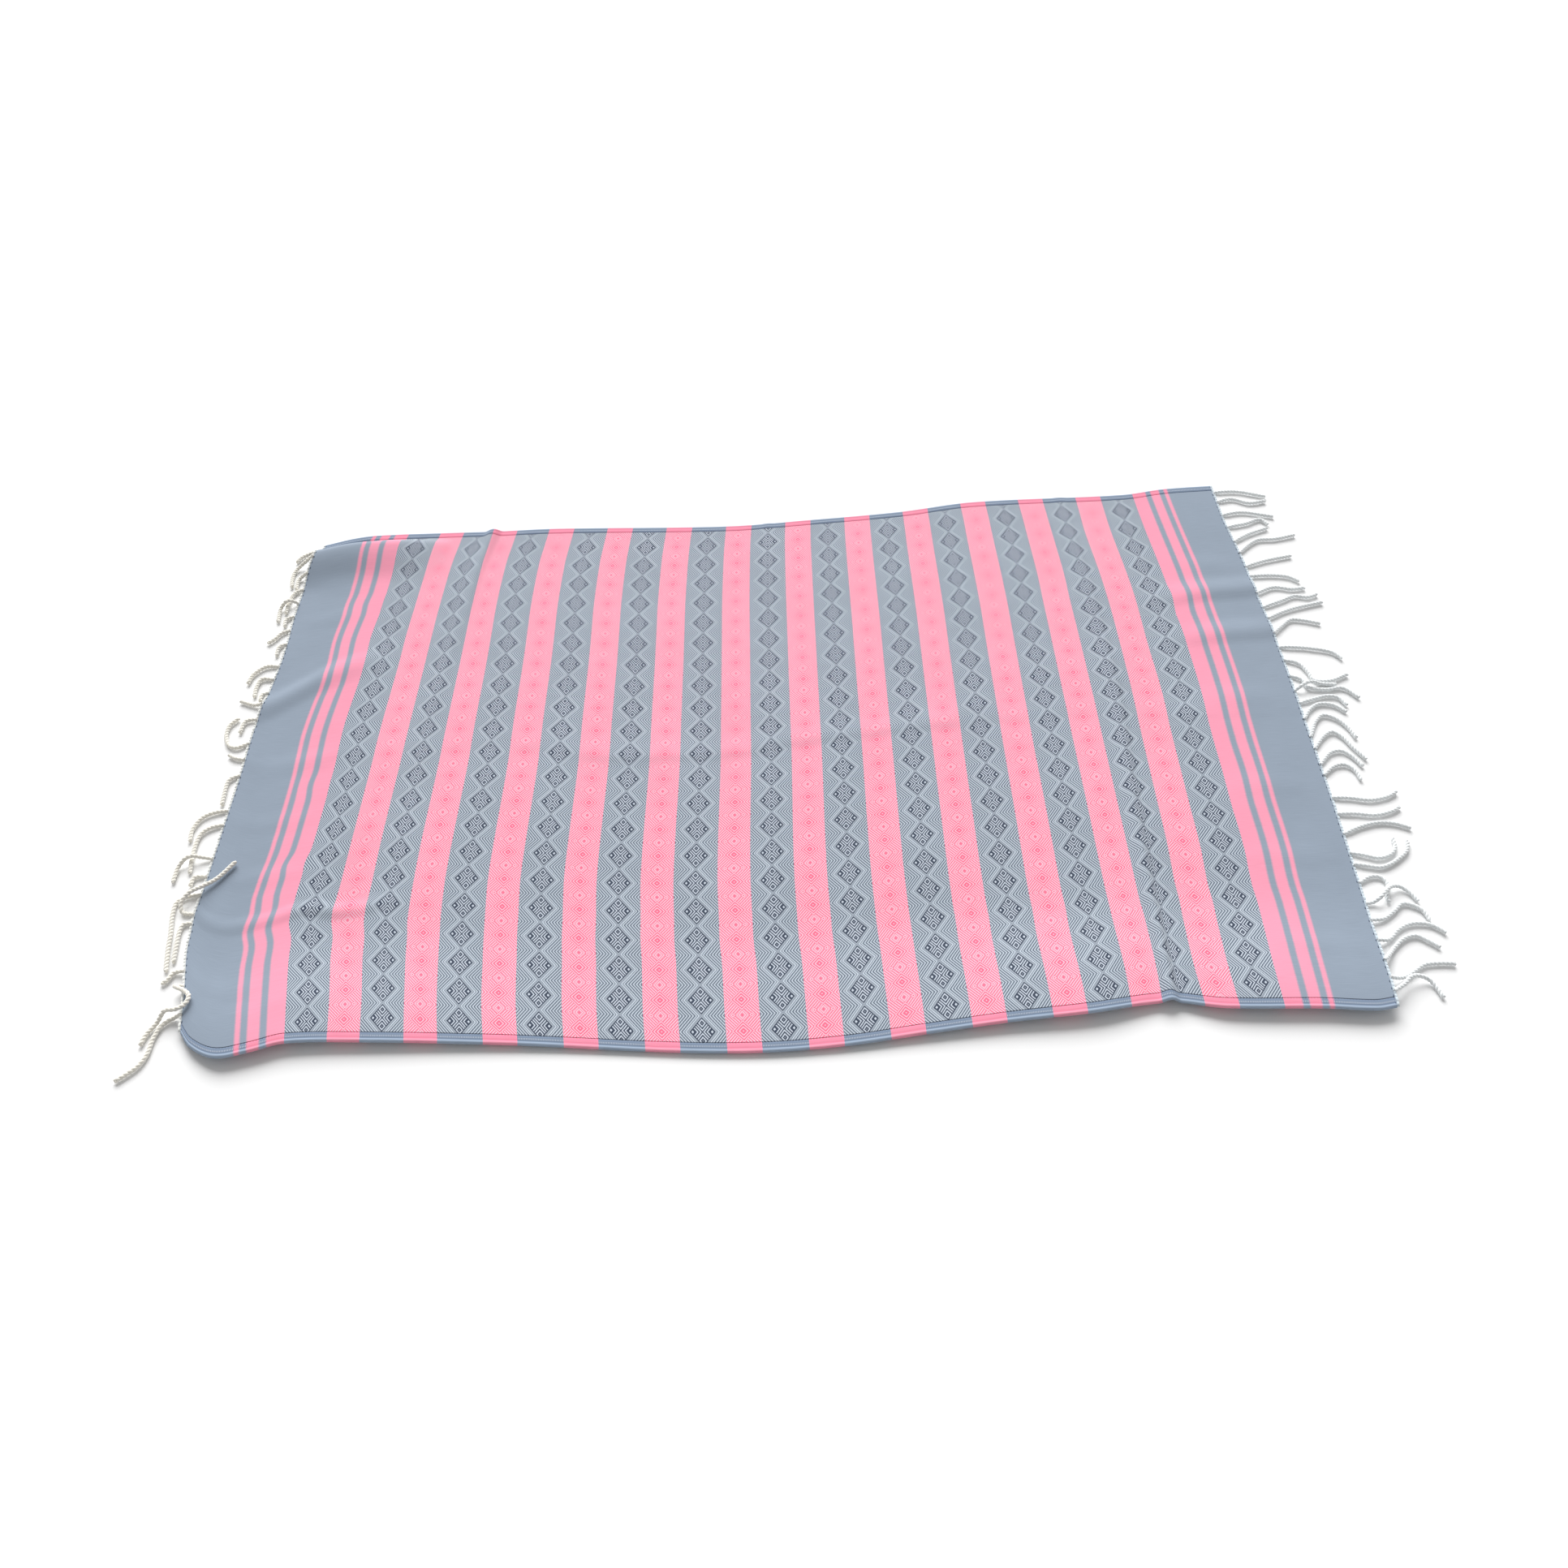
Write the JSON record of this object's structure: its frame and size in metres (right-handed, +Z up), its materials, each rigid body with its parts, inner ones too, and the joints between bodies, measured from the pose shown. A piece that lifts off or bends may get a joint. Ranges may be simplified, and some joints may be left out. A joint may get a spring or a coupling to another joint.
{
  "type": "fouta towel",
  "caption": "Flat-woven striped cotton towel with stitched hems along its long edges and a twisted strand fringe at both ends, laid out flat.",
  "frame": {"origin": "centre of the overall footprint, fringes included, on the surface that the towel lies on", "axes": "+X along the towel's length towards the right fringe, +Y across its width towards the far hem, +Z up"},
  "size_m": [1.6537, 1.0992, 0.0184],
  "materials": {
    "cloth": "flat-woven cotton, matt",
    "hem": "turned and stitched cotton, matt",
    "fringe": "twisted cotton strands, matt"
  },
  "bodies": {
    "root": {"cloth": "cloth", "hem_near": "hem", "hem_far": "hem", "fringe_left": "fringe", "fringe_right": "fringe"}
  },
  "joints": []
}
